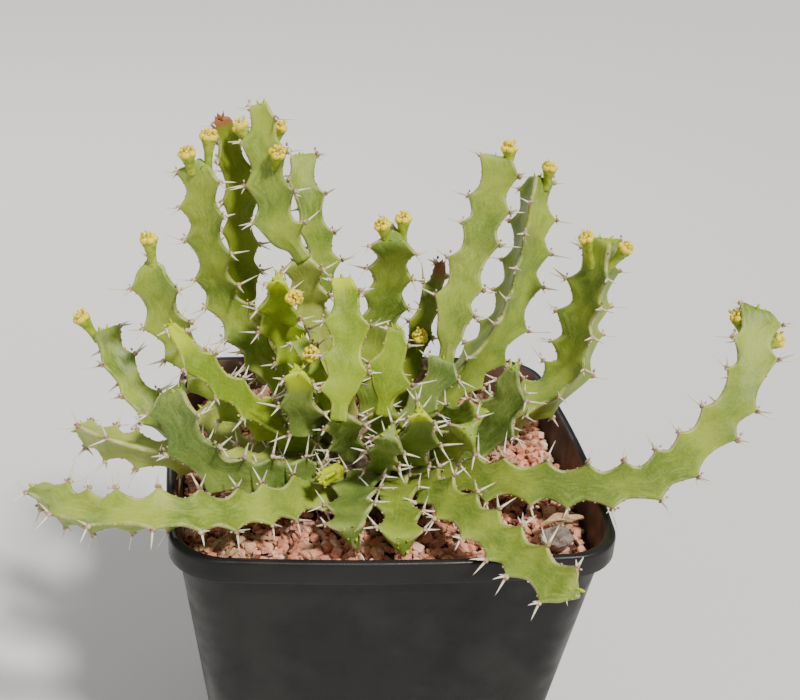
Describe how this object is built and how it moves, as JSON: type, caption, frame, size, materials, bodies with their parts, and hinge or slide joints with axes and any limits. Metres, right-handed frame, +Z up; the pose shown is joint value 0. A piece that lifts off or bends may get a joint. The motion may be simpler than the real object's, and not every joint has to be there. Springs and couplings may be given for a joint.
{
  "type": "potted euphorbia",
  "caption": "Clump of toothed three-winged succulent stems with small yellow flowers, growing from a woody crown in a square plastic pot filled with red grit.",
  "frame": {"origin": "centre of the pot's flat underside, on the surface it stands on", "axes": "+Z up, -Y towards the pot's front side, +X to the right as seen from the front; the longest spread of the stems is along X"},
  "size_m": [0.2155, 0.1565, 0.2117],
  "materials": {
    "pot_plastic": "satin",
    "grit": "matte",
    "woody_crown": "matte",
    "pebble": "matte",
    "dried_leaf": "matte",
    "cyathium": "satin",
    "stem_green": "satin",
    "stem_young": "satin",
    "stem_grey_green": "satin",
    "stem_olive": "satin",
    "stem_old": "satin",
    "stem_bud": "satin"
  },
  "bodies": {
    "root": {"crown": "woody_crown", "dry_leaf": "dried_leaf", "flower_back_right": "cyathium", "flower_front_left": "cyathium", "flower_left_leaning": "cyathium", "flower_left_outer": "cyathium", "flower_left_tall_left": "cyathium", "flower_left_tall_right": "cyathium", "flower_middle_left": "cyathium", "flower_middle_left_tip": "cyathium", "flower_middle_right_tip": "cyathium", "flower_red_tip": "cyathium", "flower_right_broad_left": "cyathium", "flower_right_broad_right": "cyathium", "flower_right_tall": "cyathium", "flower_sweeping_left": "cyathium", "flower_sweeping_right": "cyathium", "flower_tallest_left": "cyathium", "flower_tallest_right_back": "cyathium", "flower_tallest_right_front": "cyathium", "grit": "grit", "pot": "pot_plastic", "shoot_front_bud": "stem_bud", "shoot_left_bright": "stem_young", "stem_back_left_old": "stem_old", "stem_back_left_olive": "stem_olive", "stem_back_old": "stem_old", "stem_back_red_tip": "stem_olive", "stem_back_right": "stem_green", "stem_back_slim": "stem_green", "stem_back_tallest": "stem_green", "stem_centre_right_blade": "stem_green", "stem_centre_right_short": "stem_green", "stem_centre_small_star": "stem_grey_green", "stem_centre_star": "stem_grey_green", "stem_centre_stub": "stem_olive", "stem_centre_young": "stem_young", "stem_front_broad": "stem_grey_green", "stem_front_left_dark": "stem_grey_green", "stem_front_left_slim": "stem_young", "stem_front_right_trailing": "stem_green", "stem_front_short": "stem_green", "stem_front_stub": "stem_grey_green", "stem_left_grey": "stem_grey_green", "stem_left_inner": "stem_old", "stem_left_leaning": "stem_green", "stem_left_low_old": "stem_old", "stem_left_outer": "stem_green", "stem_left_pale": "stem_old", "stem_left_sprawling": "stem_green", "stem_left_tall": "stem_green", "stem_middle_left_young": "stem_young", "stem_middle_tall": "stem_green", "stem_middle_young": "stem_young", "stem_right_broad": "stem_green", "stem_right_dark": "stem_grey_green", "stem_right_stub": "stem_grey_green", "stem_right_sweeping": "stem_green", "stem_right_tall": "stem_green", "stone": "pebble"}
  },
  "joints": []
}
